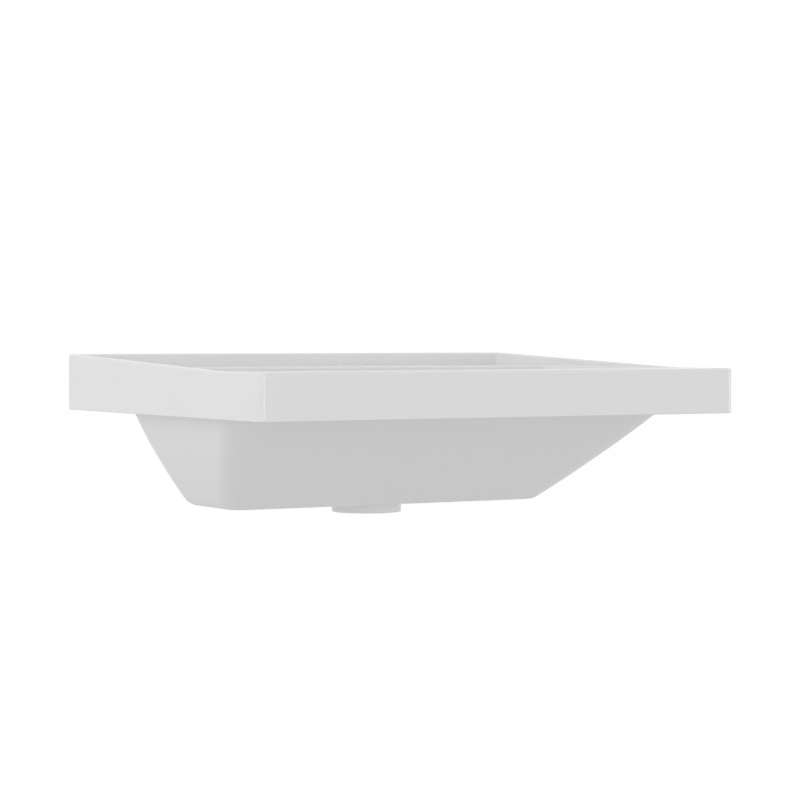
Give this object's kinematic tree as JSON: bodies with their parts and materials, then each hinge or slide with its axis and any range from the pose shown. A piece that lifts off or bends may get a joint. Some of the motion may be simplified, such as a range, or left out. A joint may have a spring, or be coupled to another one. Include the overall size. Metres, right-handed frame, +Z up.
{
  "type": "cabinet-top laundry basin",
  "caption": "White rectangular cabinet-top laundry basin with a sloping bowl, raised back and side borders, tap hole, overflow, outlet strainer and lift-out plug.",
  "frame": {"origin": "centre of the seat, the flat underside of the skirt that stands on the cabinet", "axes": "+X along the front edge, to the right for someone standing in front; +Y from the front to the wall behind; +Z up"},
  "size_m": [0.6, 0.5, 0.1851],
  "materials": {
    "gelcoat_white": "gloss",
    "insert_brass": "satin",
    "pressed_steel": "satin",
    "plating": "polished",
    "seal_rubber": "matte",
    "plug_rubber": "satin"
  },
  "bodies": {
    "basin_body": {"basin": "gelcoat_white", "fixing_inserts": "insert_brass", "outlet_sleeve": "insert_brass", "outlet_gasket": "seal_rubber", "outlet_flange": "pressed_steel", "strainer": "pressed_steel", "strainer_screw": "pressed_steel", "overflow_gasket": "seal_rubber", "overflow_cover": "plating"},
    "plug": {"plug_rubber": "plug_rubber", "plug_core": "plating"},
    "pull_ring": {"plug_ring": "plating"}
  },
  "joints": [
    {"name": "plug_lift", "type": "slide", "parent": "basin_body", "child": "plug", "axis": [0, 0, 1], "range_m": [0, 0.06]},
    {"name": "ring_swing", "type": "hinge", "parent": "plug", "child": "pull_ring", "pos_m": [0, 0.0654, -0.0931], "axis": [-1, 0, 0], "range_deg": [0, 168]}
  ]
}
